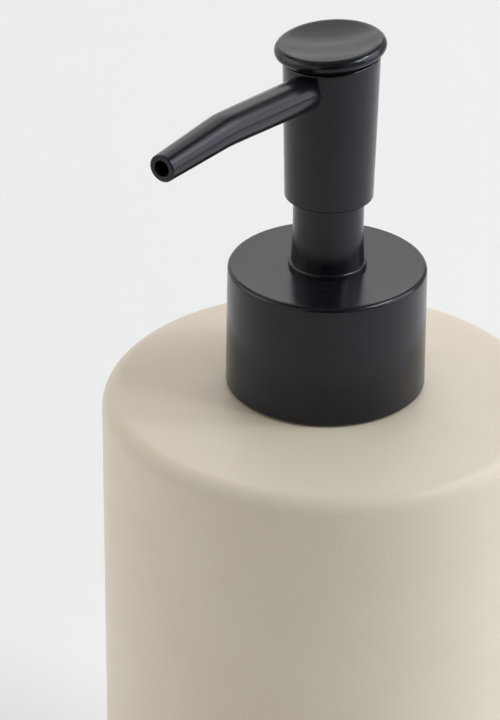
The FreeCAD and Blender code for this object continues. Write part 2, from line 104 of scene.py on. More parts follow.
def rounded(points, steps=8, closed=True):
    """Points (r, z) or (r, z, rounding), in metres, with a tangent arc laid into each rounded corner."""
    out = []
    count = len(points)
    for index, here in enumerate(points):
        place = Vector(here[:2])
        on_end = not closed and index in (0, count - 1)
        if len(here) == 2 or on_end:
            out.append(place)
            continue
        arm_in = (Vector(points[index - 1][:2]) - place).normalized()
        arm_out = (Vector(points[(index + 1) % count][:2]) - place).normalized()
        half = arm_in.angle(arm_out) / 2
        reach = here[2] / math.tan(half)
        centre = place + (arm_in + arm_out).normalized() * (here[2] / math.sin(half))
        start = place + arm_in * reach - centre
        end = place + arm_out * reach - centre
        sweep = start.angle_signed(end)
        for step in range(steps + 1):
            out.append(centre + Matrix.Rotation(-sweep * step / steps, 2) @ start)
    return out


print("a rounded square has", len(rounded([(1, 0, .2), (2, 0, .2), (2, 1, .2), (1, 1, .2)])), "points")

# %% Mesh from rings of points


def finish_mesh(name, vertices, faces, sharp=35):
    """New object in the scene, shaded smooth except where faces meet at more than sharp degrees."""
    mesh = bpy.data.meshes.new(name)
    mesh.from_pydata(vertices, [], faces)
    work = bmesh.new()
    work.from_mesh(mesh)
    bmesh.ops.remove_doubles(work, verts=work.verts, dist=1e-7)
    bmesh.ops.recalc_face_normals(work, faces=work.faces)
    work.to_mesh(mesh)
    work.free()
    mesh.shade_smooth()
    mesh.set_sharp_from_angle(angle=math.radians(sharp))
    piece = bpy.data.objects.new(name, mesh)
    bpy.context.scene.collection.objects.link(piece)
    return piece


def rings_to_faces(ring_count, size, closed):
    """Quads between neighbouring rings of size points each."""
    faces = []
    last = ring_count if closed else ring_count - 1
    for ring in range(last):
        this = ring * size
        following = (ring + 1) % ring_count * size
        for i in range(size):
            j = (i + 1) % size
            faces.append((this + i, this + j, following + j, following + i))
    return faces


def lathe(name, outline, around=192, closed=True, sharp=35):
    """Turn an outline of (r, z) points about the pump's axis."""
    vertices = []
    for r, z in outline:
        for i in range(around):
            turn = math.tau * i / around
            vertices.append((r * math.cos(turn), r * math.sin(turn), z))
    return finish_mesh(name, vertices, rings_to_faces(len(outline), around, closed), sharp)


print("turned shapes are ready")

# %% [markdown]
# Long straight walls get extra rings. The quads stay nearly square, which suits baking and export.

# %% Even spacing along an outline


def even(points, step=2.5 * MM, closed=True):
    """The same outline with points added on long runs, at most step apart."""
    out = []
    ends = points[1:] + points[:1] if closed else points[1:]
    for here, following in zip(points, ends):
        pieces = max(1, math.ceil((following - here).length / step))
        out += [here.lerp(following, piece / pieces) for piece in range(pieces)]
    return out if closed else out + [points[-1]]


print("a 10 mm run gets", len(even([Vector((0, 0)), Vector((0, 10 * MM))], closed=False)), "points")

# %% [markdown]
# ## Node helpers
# A procedural finish is a small network. One helper adds a node with its values set and its links made. Three
# short ones stand for the nodes used most: arithmetic, a smooth change of range, and a mix of two colours. The
# last one opens a node group. Object coordinates are used everywhere, so a finish travels with its piece when
# the pump moves.

# %% Build and link nodes


def node(tree, kind, settings=None, **inputs):
    """Add a node; settings are its own properties, inputs are socket values or links."""
    made = tree.nodes.new(kind)
    for key, value in (settings or {}).items():
        setattr(made, key, value)
    for key, value in inputs.items():
        socket = made.inputs[int(key[1:])] if key[1:].isdigit() else made.inputs[key.replace("_", " ")]
        if isinstance(value, bpy.types.NodeSocket):
            tree.links.new(value, socket)
        else:
            socket.default_value = value
    return made


def math_node(tree, operation, first, second=0.0, third=0.0):
    """Output of a Math node."""
    return node(tree, "ShaderNodeMath", {"operation": operation}, i0=first, i1=second, i2=third).outputs[0]


def remap(tree, value, from_min, from_max, to_min=0.0, to_max=1.0):
    """Output of a smooth Map Range node."""
    made = node(tree, "ShaderNodeMapRange", {"interpolation_type": "SMOOTHSTEP"}, Value=value)
    made.inputs["From Min"].default_value = from_min
    made.inputs["From Max"].default_value = from_max
    made.inputs["To Min"].default_value = to_min
    made.inputs["To Max"].default_value = to_max
    return made.outputs[0]


def mix_colour(tree, factor, first, second):
    """Colour between two colours."""
    made = node(tree, "ShaderNodeMix", {"data_type": "RGBA"})
    for socket, value in zip((made.inputs[0], made.inputs[6], made.inputs[7]), (factor, first, second)):
        if isinstance(value, bpy.types.NodeSocket):
            tree.links.new(value, socket)
        else:
            socket.default_value = value
    return made.outputs[2]


def group(name, inputs, outputs):
    """New shader node group with float or vector sockets; returns it with its two end nodes."""
    made = bpy.data.node_groups.new(name, "ShaderNodeTree")
    for label, kind, value in inputs:
        socket = made.interface.new_socket(label, in_out="INPUT", socket_type=kind)
        if value is not None:
            socket.default_value = value
    for label, kind in outputs:
        made.interface.new_socket(label, in_out="OUTPUT", socket_type=kind)
    return made, made.nodes.new("NodeGroupInput"), made.nodes.new("NodeGroupOutput")


FLOAT = "NodeSocketFloat"
VECTOR = "NodeSocketVector"
print("node helpers are ready")

# %% [markdown]
# ## Shared effects
# Each effect is a node group, built once and placed in a material with its own values. The first, fine grain,
# is the skin of a spark-eroded mould: a dense, shallow noise. An image could give it too, but noise has no seam
# on a round piece. It puts out a height for bump and a mask that makes the roughness uneven.

# %% Fine grain group
BROAD_CELLS = 0.13
BROAD_HEIGHT = 0.35


def make_grain():
    """Grain of a mould's skin: height and an uneven mask."""
    made, start, end = group("fine_grain", [("Vector", VECTOR, None), ("Cells per Metre", FLOAT, 2500.0)],
                             [("Height", FLOAT), ("Mask", FLOAT)])
    fine = node(made, "ShaderNodeTexNoise", Vector=start.outputs[0], Scale=start.outputs[1], Detail=3.0,
                Roughness=0.6)
    fewer = math_node(made, "MULTIPLY", start.outputs[1], BROAD_CELLS)
    broad = node(made, "ShaderNodeTexNoise", Vector=start.outputs[0], Scale=fewer, Detail=2.0)
    height = math_node(made, "MULTIPLY_ADD", broad.outputs[0], BROAD_HEIGHT, fine.outputs[0])
    made.links.new(height, end.inputs[0])
    made.links.new(remap(made, broad.outputs[0], 0.3, 0.7), end.inputs[1])
    return made


FINE_GRAIN = make_grain()
print(FINE_GRAIN.name, len(FINE_GRAIN.nodes), "nodes")

# %% [markdown]
# Soft mottling is a slow change over centimetres, as in a glaze that flowed or in plastic that was handled. One
# noise alone looks like cloud, so a quicker and weaker one breaks it up.

# %% Soft mottling group
QUICK_CELLS = 4.5
QUICK_WEIGHT = 0.4


def make_mottling():
    """Slow change over a surface, 0 to 1, from two noises of different size."""
    made, start, end = group("soft_mottling", [("Vector", VECTOR, None), ("Cells per Metre", FLOAT, 40.0)],
                             [("Mask", FLOAT)])
    slow = node(made, "ShaderNodeTexNoise", Vector=start.outputs[0], Scale=start.outputs[1], Detail=2.0)
    finer = math_node(made, "MULTIPLY", start.outputs[1], QUICK_CELLS)
    quick = node(made, "ShaderNodeTexNoise", Vector=start.outputs[0], Scale=finer, Detail=3.0)
    both = math_node(made, "MULTIPLY_ADD", quick.outputs[0], QUICK_WEIGHT, slow.outputs[0])
    made.links.new(remap(made, both, 0.45, 0.95), end.inputs[0])
    return made


SOFT_MOTTLING = make_mottling()
print(SOFT_MOTTLING.name, len(SOFT_MOTTLING.nodes), "nodes")

# %% [markdown]
# Speckle is the iron that melts through a stoneware glaze as tiny dots. Cells of a Voronoi pattern give round
# dots. Only a share of the cells gets one, and each has its own size, so they look scattered.

# %% Speckle group
DOT_EDGE = 0.12


def make_speckle():
    """Scattered round dots of uneven size: a mask that is 1 inside a dot."""
    made, start, end = group("speckle", [("Vector", VECTOR, None), ("Cells per Metre", FLOAT, 600.0),
                                         ("Share", FLOAT, 0.2), ("Size", FLOAT, 0.3)], [("Mask", FLOAT)])
    cells = node(made, "ShaderNodeTexVoronoi", Vector=start.outputs[0], Scale=start.outputs[1])
    chance = node(made, "ShaderNodeSeparateColor", Color=cells.outputs["Color"])
    chosen = math_node(made, "LESS_THAN", chance.outputs[0], start.outputs[2])
    size = math_node(made, "MULTIPLY", start.outputs[3], chance.outputs[1])
    edge = math_node(made, "SUBTRACT", size, cells.outputs["Distance"])
    dot = remap(made, edge, 0.0, DOT_EDGE)
    made.links.new(math_node(made, "MULTIPLY", chosen, dot), end.inputs[0])
    return made


SPECKLE = make_speckle()
print(SPECKLE.name, len(SPECKLE.nodes), "nodes")

# %% [markdown]
# Dust settles only on faces that look up, so the height of the surface's normal picks them, and a noise breaks
# the layer into specks.

# %% Dust group


def make_dust():
    """Thin dust: a mask that grows where the surface looks up, broken by noise."""
    made, start, end = group("settled_dust", [("Vector", VECTOR, None), ("Cells per Metre", FLOAT, 900.0),
                                              ("Amount", FLOAT, 0.3)], [("Mask", FLOAT)])
    surface = node(made, "ShaderNodeNewGeometry")
    parts = node(made, "ShaderNodeSeparateXYZ", Vector=surface.outputs["Normal"])
    upward = remap(made, parts.outputs[2], 0.45, 1.0)
    specks = node(made, "ShaderNodeTexNoise", Vector=start.outputs[0], Scale=start.outputs[1], Detail=4.0)
    broken = remap(made, specks.outputs[0], 0.45, 0.75)
    mask = math_node(made, "MULTIPLY", math_node(made, "MULTIPLY", upward, broken), start.outputs[2])
    made.links.new(mask, end.inputs[0])
    return made


SETTLED_DUST = make_dust()
print(SETTLED_DUST.name, len(SETTLED_DUST.nodes), "nodes")

# %% [markdown]
# ## A material to start from
# Every finish is one Principled BSDF. What is the same all over is set on its own sockets. What changes over
# the surface arrives from the groups: colour, roughness, and a height that a Bump node turns into a normal.

# %% Material helper
DUST_COLOUR = (0.35, 0.33, 0.30, 1.0)
HANDLING_CELLS = 55.0
GRAIN_ROUGHER = 0.03


def place(tree, made_group, **inputs):
    """Put a shared effect into a material with its own values."""
    holder = node(tree, "ShaderNodeGroup", {"node_tree": made_group})
    for key, value in inputs.items():
        socket = holder.inputs[key.replace("_", " ")]
        if isinstance(value, bpy.types.NodeSocket):
            tree.links.new(value, socket)
        else:
            socket.default_value = value
    return holder


def new_material(name):
    """Empty node material: returns it with its tree, its shader and Object coordinates."""
    material = bpy.data.materials.new(name)
    material.use_nodes = True
    tree = material.node_tree
    tree.nodes.clear()
    out = tree.nodes.new("ShaderNodeOutputMaterial")
    shader = tree.nodes.new("ShaderNodeBsdfPrincipled")
    tree.links.new(shader.outputs[0], out.inputs[0])
    coordinates = tree.nodes.new("ShaderNodeTexCoord").outputs["Object"]
    return material, tree, shader, coordinates


def bump(tree, shader, height, depth):
    """Link a height to the shader's normal; depth is the relief in metres."""
    made = node(tree, "ShaderNodeBump", Height=height, Distance=depth)
    tree.links.new(made.outputs[0], shader.inputs["Normal"])


def moulded(name, colour, worn, low_gloss, high_gloss, depth=0.004 * MM, cells=2500.0, dust=0.0):
    """Moulded plastic: two close colours, an uneven gloss, fine grain and optional dust."""
    material, tree, shader, coordinates = new_material(name)
    grain = place(tree, FINE_GRAIN, Vector=coordinates, Cells_per_Metre=cells)
    mottling = place(tree, SOFT_MOTTLING, Vector=coordinates, Cells_per_Metre=HANDLING_CELLS)
    shade = mix_colour(tree, mottling.outputs[0], colour, worn)
    rough = remap(tree, mottling.outputs[0], 0.0, 1.0, low_gloss, high_gloss)
    rough = math_node(tree, "MULTIPLY_ADD", grain.outputs["Mask"], GRAIN_ROUGHER, rough)
    if dust:
        settled = place(tree, SETTLED_DUST, Vector=coordinates, Amount=dust)
        shade = mix_colour(tree, settled.outputs[0], shade, DUST_COLOUR)
        rough = math_node(tree, "ADD", rough, settled.outputs[0])
    tree.links.new(shade, shader.inputs["Base Color"])
    tree.links.new(rough, shader.inputs["Roughness"])
    bump(tree, shader, grain.outputs["Height"], depth)
    return material, shader


print("materials can be made")

# %% [markdown]
# ## Stoneware glaze
# The bottle is slip-cast stoneware under a satin beige glaze. Satin glaze has a soft, wide highlight, a little
# colour drift where it ran thick or thin, a few iron specks, and shallow pits that a fingertip just feels.
# The foot ring is wiped before firing, so the last millimetres show raw clay: rougher, and a warmer colour.

# %% Stoneware material
GLAZE = (0.725, 0.640, 0.525, 1.0)
GLAZE_THIN = (0.700, 0.612, 0.498, 1.0)
SPECK = (0.26, 0.20, 0.14, 1.0)
RAW_CLAY = (0.47, 0.38, 0.28, 1.0)
GLAZE_LINE = 1.3 * MM
GLAZE_LINE_SOFT = 0.25 * MM
GLAZE_ROUGH = (0.36, 0.41)
GLAZE_IOR = 1.38
CLAY_ROUGHER = 0.42
IRON_WEIGHT = 0.10
FAINT_WEIGHT = 0.12
PIT_DEPTH = 0.02 * MM


def make_stoneware():
    """Satin glaze with faint specks, and raw clay below the glaze line at the foot."""
    material, tree, shader, coordinates = new_material("stoneware_glaze")
    mottling = place(tree, SOFT_MOTTLING, Vector=coordinates, Cells_per_Metre=32.0)
    iron = place(tree, SPECKLE, Vector=coordinates, Cells_per_Metre=900.0, Share=0.10, Size=0.30)
    faint = place(tree, SPECKLE, Vector=coordinates, Cells_per_Metre=2600.0, Share=0.45, Size=0.40)
    grain = place(tree, FINE_GRAIN, Vector=coordinates, Cells_per_Metre=900.0)
    colour = mix_colour(tree, mottling.outputs[0], GLAZE, GLAZE_THIN)
    colour = mix_colour(tree, math_node(tree, "MULTIPLY", faint.outputs[0], FAINT_WEIGHT), colour, SPECK)
    colour = mix_colour(tree, math_node(tree, "MULTIPLY", iron.outputs[0], IRON_WEIGHT), colour, SPECK)
    height = node(tree, "ShaderNodeSeparateXYZ", Vector=coordinates).outputs[2]
    ragged = math_node(tree, "MULTIPLY_ADD", mottling.outputs[0], GLAZE_LINE_SOFT, GLAZE_LINE)
    raw = remap(tree, math_node(tree, "SUBTRACT", ragged, height), -GLAZE_LINE_SOFT, GLAZE_LINE_SOFT)
    colour = mix_colour(tree, raw, colour, RAW_CLAY)
    rough = remap(tree, mottling.outputs[0], 0.0, 1.0, *GLAZE_ROUGH)
    rough = math_node(tree, "MULTIPLY_ADD", raw, CLAY_ROUGHER, rough)
    relief = math_node(tree, "MULTIPLY_ADD", iron.outputs[0], -0.5, grain.outputs["Height"])
    tree.links.new(colour, shader.inputs["Base Color"])
    tree.links.new(rough, shader.inputs["Roughness"])
    bump(tree, shader, relief, PIT_DEPTH)
    shader.inputs["IOR"].default_value = GLAZE_IOR
    return material


STONEWARE = make_stoneware()
print(STONEWARE.name, len(STONEWARE.node_tree.nodes), "nodes")

# %% [markdown]
# ## Plastics, rubber and steel
# The collar, head, button and spout are moulded in black polypropylene with a satin skin. Its highlights lean
# to blue, which the shader's own specular tint gives. The pump's inner pieces are natural white plastic, left
# plain because nobody sees them in use, and a little light goes into them, so they get some subsurface. The
# piston is a softer grade, rougher to the eye.

# %% Black and white plastics
BLACK_PLASTIC, BLACK_SHADER = moulded("satin_black_plastic", (0.0052, 0.0053, 0.0085, 1.0),
                                      (0.0066, 0.0067, 0.0104, 1.0), 0.20, 0.22, dust=0.012)
BLACK_SHADER.inputs["IOR"].default_value = 1.43
BLACK_SHADER.inputs["Specular Tint"].default_value = (0.95, 0.945, 1.0, 1.0)
WHITE_PLASTIC, WHITE_SHADER = moulded("natural_white_plastic", (0.80, 0.79, 0.75, 1.0),
                                      (0.74, 0.73, 0.68, 1.0), 0.34, 0.44)
WHITE_SHADER.inputs["Subsurface Weight"].default_value = 0.15
WHITE_SHADER.inputs["Subsurface Scale"].default_value = 0.8 * MM
SOFT_PLASTIC, _ = moulded("soft_piston_plastic", (0.72, 0.73, 0.71, 1.0),
                          (0.64, 0.65, 0.62, 1.0), 0.42, 0.52)
print(BLACK_PLASTIC.name, WHITE_PLASTIC.name, SOFT_PLASTIC.name)

# %% [markdown]
# Some inner pieces are unpigmented plastic: light goes through them, but what lies behind is blurred. About
# half transmission with a rough surface gives that without a second shader.

# %% Milky clear plastic
MILKY_PLASTIC, MILKY_SHADER = moulded("milky_clear_plastic", (0.80, 0.83, 0.82, 1.0),
                                      (0.72, 0.75, 0.74, 1.0), 0.26, 0.36)
MILKY_SHADER.inputs["Transmission Weight"].default_value = 0.55
MILKY_SHADER.inputs["IOR"].default_value = 1.49
print(MILKY_PLASTIC.name)

# %% [markdown]
# Seals are soft and quite matt, the foam washer shows its cells, and the cured bond between stoneware and
# plastic is a slightly yellow bead. The same helper makes them, only rougher and with a deeper grain.

# %% Seals and bond
SEAL_RUBBER, _ = moulded("soft_seal", (0.045, 0.045, 0.045, 1.0), (0.07, 0.07, 0.068, 1.0), 0.62, 0.75,
                         depth=0.02 * MM, cells=1600.0)
FOAM_WASHER, _ = moulded("foam_washer", (0.78, 0.77, 0.73, 1.0), (0.70, 0.69, 0.65, 1.0), 0.75, 0.85,
                         depth=0.08 * MM, cells=1400.0)
BOND_RING, _ = moulded("cured_bond", (0.66, 0.63, 0.56, 1.0), (0.58, 0.55, 0.48, 1.0), 0.5, 0.62,
                       depth=0.05 * MM, cells=700.0)
print(SEAL_RUBBER.name, FOAM_WASHER.name, BOND_RING.name)

# %% [markdown]
# The spring and the ball are stainless steel: fully metallic, with a polish that drawing and tumbling leave
# uneven.

# %% Drawn steel
STEEL_LIGHT = (0.62, 0.61, 0.59, 1.0)
STEEL_DARK = (0.50, 0.49, 0.475, 1.0)
STEEL_ROUGH = (0.20, 0.32)


def make_steel():
    """Stainless wire and ball: metal with an uneven polish."""
    material, tree, shader, coordinates = new_material("stainless_steel")
    mottling = place(tree, SOFT_MOTTLING, Vector=coordinates, Cells_per_Metre=300.0)
    grain = place(tree, FINE_GRAIN, Vector=coordinates, Cells_per_Metre=5000.0)
    tree.links.new(mix_colour(tree, mottling.outputs[0], STEEL_LIGHT, STEEL_DARK), shader.inputs["Base Color"])
    tree.links.new(remap(tree, grain.outputs["Mask"], 0.0, 1.0, *STEEL_ROUGH), shader.inputs["Roughness"])
    shader.inputs["Metallic"].default_value = 1.0
    bump(tree, shader, grain.outputs["Height"], 0.003 * MM)
    return material


STEEL = make_steel()
print(STEEL.name)

# %% [markdown]
# ## Dressing a piece
# A finer mesh stands in for a CAD node: it rides on the same body, takes the same material slot, and hides the
# node, which stays in the physics model. The slot also says which finish the piece gets.

# %% Attach a finer mesh
FINISHES = {
    "stoneware": STONEWARE,
    "black_plastic": BLACK_PLASTIC,
    "white_plastic": WHITE_PLASTIC,
    "clear_plastic": MILKY_PLASTIC,
    "piston_plastic": SOFT_PLASTIC,
    "soft_seal": SEAL_RUBBER,
    "foam_gasket": FOAM_WASHER,
    "bond": BOND_RING,
    "steel": STEEL,
}


def dress(piece, cad_node, body, slot):
    """Give a new mesh its finish and its body, and hide the CAD node that it stands for."""
    piece.data.materials.append(FINISHES[slot])
    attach(piece, body)
    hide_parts(cad_node)
    size = piece.dimensions / MM
    print(piece.name, len(piece.data.polygons), "faces", [round(v, 2) for v in size], "mm")
    return piece


print(len(FINISHES), "finishes")

# %% [markdown]
# ## The bottle
# The outline runs from the recess under the base, over the foot ring, up the straight wall, round the soft
# shoulder and in along the nearly flat top to the mouth. It then comes back down inside, so the mesh is closed
# and has the real wall, as the CAD solid does.

# %% Bottle sizes
WALL = 4.0 * MM
FOOT_RECESS = 1.6 * MM
FOOT_INNER_R = 30.2 * MM
FOOT_OUTER_R = 34.4 * MM
FOOT_HEIGHT = 2.6 * MM
FOOT_EDGE = 0.8 * MM
FOOT_INNER_EDGE = 0.6 * MM
FOOT_ROUND = 2.4 * MM
SHOULDER_DROP = 1.8 * MM
SHOULDER_ROUND = 3.3 * MM
TOP_FLAT_R = 18.0 * MM
TOP_CROWN = 60.0 * MM
MOUTH_EDGE = 0.4 * MM
MOUTH_R = radius("neck_seal")
MOUTH_LOW = low("neck_seal") - 1.2 * MM
NECK_EDGE = 1.0 * MM
NECK_ROUND = 1.5 * MM
NECK_HOLLOW = 3.0 * MM
INNER_ROUND = 6.0 * MM
print("mouth radius", round(MOUTH_R / MM, 2), "mm")

# %% Bottle mesh


def make_bottle():
    """Closed stoneware body with foot ring, rounded shoulder and open mouth."""
    side_top = BOTTLE_TOP - SHOULDER_DROP
    inner = BOTTLE_R - WALL
    floor = FOOT_RECESS + WALL
    ceiling = side_top - WALL
    outline = rounded([
        (0, FOOT_RECESS),
        (FOOT_INNER_R - FOOT_RECESS, FOOT_RECESS, FOOT_EDGE),
        (FOOT_INNER_R, 0, FOOT_INNER_EDGE),
        (FOOT_OUTER_R, 0, FOOT_EDGE),
        (BOTTLE_R, FOOT_HEIGHT, FOOT_ROUND),
        (BOTTLE_R, side_top, SHOULDER_ROUND),
        (TOP_FLAT_R, BOTTLE_TOP, TOP_CROWN),
        (MOUTH_R, BOTTLE_TOP, MOUTH_EDGE),
        (MOUTH_R, MOUTH_LOW, NECK_EDGE),
        (MOUTH_R + WALL, MOUTH_LOW, NECK_ROUND),
        (MOUTH_R + 2 * WALL, ceiling, NECK_HOLLOW),
        (inner, ceiling, INNER_ROUND),
        (inner, floor, INNER_ROUND),
        (0, floor),
    ], steps=12, closed=False)
    return lathe("bottle", even(outline, closed=False), around=288, closed=False)


dress(make_bottle(), "bottle_body", "bottle", "stoneware")

# %% [markdown]
# ## The collar and its chimney
# One moulding: a smooth skirt that hides the threaded liner, a flat roof, a small base ring, and the chimney
# that the head slides over. The skirt has a slight draft, so that it leaves the mould.

# %% Collar sizes
COLLAR_TOP = CLOSURE_LOW + 21.4 * MM
COLLAR_TOP_R = CLOSURE_R - 0.2 * MM
COLLAR_EDGE = 0.8 * MM
COLLAR_FOOT_EDGE = 0.25 * MM
LINER_R = radius("closure_liner")
LINER_TOP = high("closure_liner")
RING_R = 6.5 * MM
RING_TOP = COLLAR_TOP + 0.95 * MM
RING_ROUND = 0.37 * MM
CHIMNEY_R = 5.83 * MM
CHIMNEY_FOOT_R = 6.12 * MM
CHIMNEY_FLARE = 5.2 * MM
CHIMNEY_FLARE_ROUND = 20.0 * MM
CHIMNEY_EDGE = 0.35 * MM
CHIMNEY_BORE = 4.95 * MM
print("collar height", round((COLLAR_TOP - CLOSURE_LOW) / MM, 2), "mm")

# %% Collar mesh


def make_collar():
    """Smooth shell with roof, base ring and chimney."""
    return lathe("collar", even(rounded([
        (LINER_R, CLOSURE_LOW, 0.2 * MM),
        (CLOSURE_R, CLOSURE_LOW, COLLAR_FOOT_EDGE),
        (COLLAR_TOP_R, COLLAR_TOP, COLLAR_EDGE),
        (RING_R, COLLAR_TOP),
        (RING_R, RING_TOP, RING_ROUND),
        (CHIMNEY_FOOT_R, RING_TOP),
        (CHIMNEY_R, RING_TOP + CHIMNEY_FLARE, CHIMNEY_FLARE_ROUND),
        (CHIMNEY_R, CHIMNEY_TOP, CHIMNEY_EDGE),
        (CHIMNEY_BORE, CHIMNEY_TOP, 0.25 * MM),
        (CHIMNEY_BORE, LINER_TOP, 0.3 * MM),
        (LINER_R, LINER_TOP, 0.5 * MM),
    ]), 1.2 * MM), around=224)


dress(make_collar(), "closure_shell", "closure", "black_plastic")

# %% [markdown]
# ## The head
# The barrel is a little wider at the top. Its top plane tilts to the spout's side, so the rings above the web
# are sheared until the last one lies in that plane. The dished button is turned upright about the axis first,
# and then tilted by the same angle, so the two meet in one even seam.

# %% Head sizes
HEAD_TOP = 173.9 * MM
HEAD_TILT = math.radians(5.2)
TILT_TURN = math.radians(74.0)
TILT_PIVOT = Vector((0, 0, 172.9 * MM))
HEAD_FOOT_R = 7.28 * MM
HEAD_TOP_R = radius("head_shell")
SKIRT_BORE = 6.4 * MM
HEAD_BORE = 6.8 * MM
HEAD_EDGE = 0.3 * MM
UP = Vector((0, 0, 1))
WEB = low("head_core")
TILT_WAY = Vector((-math.sin(TILT_TURN), -math.cos(TILT_TURN), 0))
TILT = (Matrix.Translation(TILT_PIVOT) @ Matrix.Rotation(HEAD_TILT, 4, UP.cross(TILT_WAY))
        @ Matrix.Translation(-TILT_PIVOT) @ Matrix.Translation((0, 0, HEAD_TOP)))
TOP_POINT = TILT @ Vector((0, 0, 0))
print("head foot", round(HEAD_LOW / MM, 2), "top", round(HEAD_TOP / MM, 2), "mm")

# %% Barrel mesh


def make_barrel():
    """Open skirt below, slanted rim above."""
    piece = lathe("head_barrel", even(rounded([
        (SKIRT_BORE, HEAD_LOW, 0.25 * MM),
        (HEAD_FOOT_R, HEAD_LOW, HEAD_EDGE),
        (HEAD_TOP_R, HEAD_TOP, HEAD_EDGE),
        (HEAD_BORE, HEAD_TOP),
        (HEAD_BORE, WEB),
        (SKIRT_BORE, WEB),
    ]), 1.0 * MM), around=160)
    for vertex in piece.data.vertices:
        share = max(0.0, (vertex.co.z - WEB) / (HEAD_TOP - WEB))
        reach = (vertex.co - TOP_POINT).dot(TILT_WAY)
        vertex.co.z += share * (TOP_POINT.z - HEAD_TOP - reach * math.tan(HEAD_TILT))
    return piece


dress(make_barrel(), "head_shell", "head", "black_plastic")

# %% [markdown]
# The button's dish is part of a sphere, so a fingertip finds its middle. Its rim is well rounded, over a
# conical underside that runs in to the seam. The seam is drawn a little inside the CAD disc's, which leaves a
# thin ledge on the barrel.

# %% Button sizes
DISC_R = 9.03 * MM
DISC_HEIGHT = 2.8 * MM
DISC_LIP_R = 7.83 * MM
DISC_SEAM_R = 7.45 * MM
DISC_CONE = 1.1 * MM
DISC_RIM_ROUND = 1.2 * MM
DISC_UNDER_ROUND = 0.8 * MM
DISH_DEPTH = 1.15 * MM
PLUG_R = 6.5 * MM
PLUG_DEPTH = 0.5 * MM
DISH_RINGS = 24

# %% Button mesh


def make_button():
    """Dished disc, tilted to the spout's side."""
    sphere = (DISC_LIP_R ** 2 + DISH_DEPTH ** 2) / (2 * DISH_DEPTH)
    outline = rounded([
        (0, -PLUG_DEPTH),
        (PLUG_R, -PLUG_DEPTH, 0.2 * MM),
        (PLUG_R, 0),
        (DISC_SEAM_R, 0, 0.1 * MM),
        (DISC_R, DISC_CONE, DISC_UNDER_ROUND),
        (DISC_R, DISC_HEIGHT, DISC_RIM_ROUND),
        (DISC_LIP_R, DISC_HEIGHT),
    ], closed=False)
    for ring in range(1, DISH_RINGS + 1):
        r = DISC_LIP_R * (1 - ring / DISH_RINGS)
        outline.append(Vector((r, DISC_HEIGHT - DISH_DEPTH + sphere - math.sqrt(sphere ** 2 - r ** 2))))
    piece = lathe("button", outline, around=192, closed=False, sharp=50)
    piece.data.transform(TILT)
    return piece


dress(make_button(), "button_disc", "head", "black_plastic")

# %% [markdown]
# ## The spout
# A tapered tube carried along a line: a long run that rises slightly, a short bend, and a run that droops.
# Rings are set square to the line. The outside, the rolled lip and the bore are one outline of distance
# against radius, so the tube is one closed mesh with a real hole.

# %% Spout line
SPOUT_TURN = math.radians(33.6)
SPOUT_WAY = Vector((-math.sin(SPOUT_TURN), -math.cos(SPOUT_TURN), 0))
SPOUT_SIDE = UP.cross(SPOUT_WAY)
SPOUT_Z = 169.5 * MM
SPOUT_RISE = math.radians(4.2)
SPOUT_DROOP = math.radians(2.6)
SPOUT_KINK = 30.0 * MM
SPOUT_LENGTH = 45.5 * MM
SPOUT_BEND = 20.0 * MM
SPOUT_START = 6.85 * MM


def spout_line(distance):
    """Point and direction on the spout's centre line at a distance from the head's axis."""
    start = UP * SPOUT_Z
    reach = SPOUT_BEND * math.tan((SPOUT_RISE + SPOUT_DROOP) / 2)
    share = min(1.0, max(0.0, (distance - SPOUT_KINK + reach) / (2 * reach)))
    slope = SPOUT_RISE - share * (SPOUT_RISE + SPOUT_DROOP)
    way = SPOUT_WAY * math.cos(slope) + UP * math.sin(slope)
    root_way = SPOUT_WAY * math.cos(SPOUT_RISE) + UP * math.sin(SPOUT_RISE)
    if share == 0:
        return start + root_way * distance, way
    bend_start = start + root_way * (SPOUT_KINK - reach)
    centre = bend_start - root_way.cross(SPOUT_SIDE) * SPOUT_BEND
    point = centre + way.cross(SPOUT_SIDE) * SPOUT_BEND
    return point + way * max(0.0, distance - SPOUT_KINK - reach), way


print("spout tip", [round(v / MM, 2) for v in spout_line(SPOUT_LENGTH)[0]], "mm")

# %% Spout mesh
ROOT_R = 2.93 * MM
KINK_R = 2.77 * MM
TIP_R = 2.25 * MM
LIP = 0.25 * MM
LIP_START = SPOUT_LENGTH - 1.5 * LIP
BORE_R = 1.7 * MM
OUTLET_R = 1.3 * MM
OUTLET_DEPTH = 2.0 * MM
OUTLET_EDGE = 0.12 * MM
RINGS_PER_RUN = 24
AROUND_SPOUT = 96


def spout_outline():
    """(radius, distance) pairs from the root, out over the lip and back down the bore."""
    outside = []
    runs = ((ROOT_R, SPOUT_START), (KINK_R, SPOUT_KINK), (TIP_R, LIP_START))
    for here, following in zip(runs, runs[1:]):
        outside += [Vector(here).lerp(Vector(following), ring / RINGS_PER_RUN) for ring in range(RINGS_PER_RUN)]
    return outside + rounded([
        (TIP_R, LIP_START),
        (TIP_R, SPOUT_LENGTH, LIP),
        (OUTLET_R, SPOUT_LENGTH, OUTLET_EDGE),
        (OUTLET_R, SPOUT_LENGTH - OUTLET_DEPTH),
        (BORE_R, SPOUT_LENGTH - OUTLET_DEPTH),
        (BORE_R, SPOUT_KINK),
        (BORE_R, SPOUT_START),
    ], closed=False)


def make_spout():
    """Rings of the outline carried along the spout's line."""
    vertices = []
    outline = even(spout_outline(), 1.0 * MM, closed=False)
    for r, distance in outline:
        point, way = spout_line(distance)
        upper = way.cross(SPOUT_SIDE)
        for i in range(AROUND_SPOUT):
            turn = math.tau * i / AROUND_SPOUT
            vertices.append(point + (SPOUT_SIDE * math.cos(turn) + upper * math.sin(turn)) * r)
    return finish_mesh("spout", vertices, rings_to_faces(len(outline), AROUND_SPOUT, True))


dress(make_spout(), "spout_tube", "head", "black_plastic")

